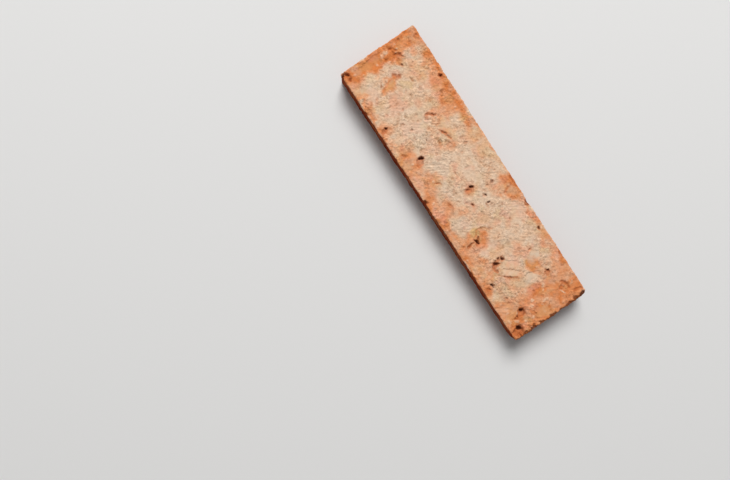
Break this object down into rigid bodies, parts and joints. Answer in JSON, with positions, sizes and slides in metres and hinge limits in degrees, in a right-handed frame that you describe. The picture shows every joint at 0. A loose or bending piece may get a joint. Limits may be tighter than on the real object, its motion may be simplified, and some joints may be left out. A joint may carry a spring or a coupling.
{
  "type": "clay brick slip",
  "caption": "Thin rectangular facing slip of fired clay with a pitted, lime-filmed face, worn arrises and a flat sawn back for bonding to a wall.",
  "frame": {"origin": "centre of the bounding box in plan, on the sawn back", "axes": "+X along the length towards the ragged tail end, +Y across the width, +Z out of the weathered face"},
  "size_m": [0.24, 0.066, 0.02],
  "materials": {
    "fired_clay": "matt orange fired clay with a pale lime film"
  },
  "bodies": {
    "root": {"brick_slip": "fired_clay"}
  },
  "joints": []
}
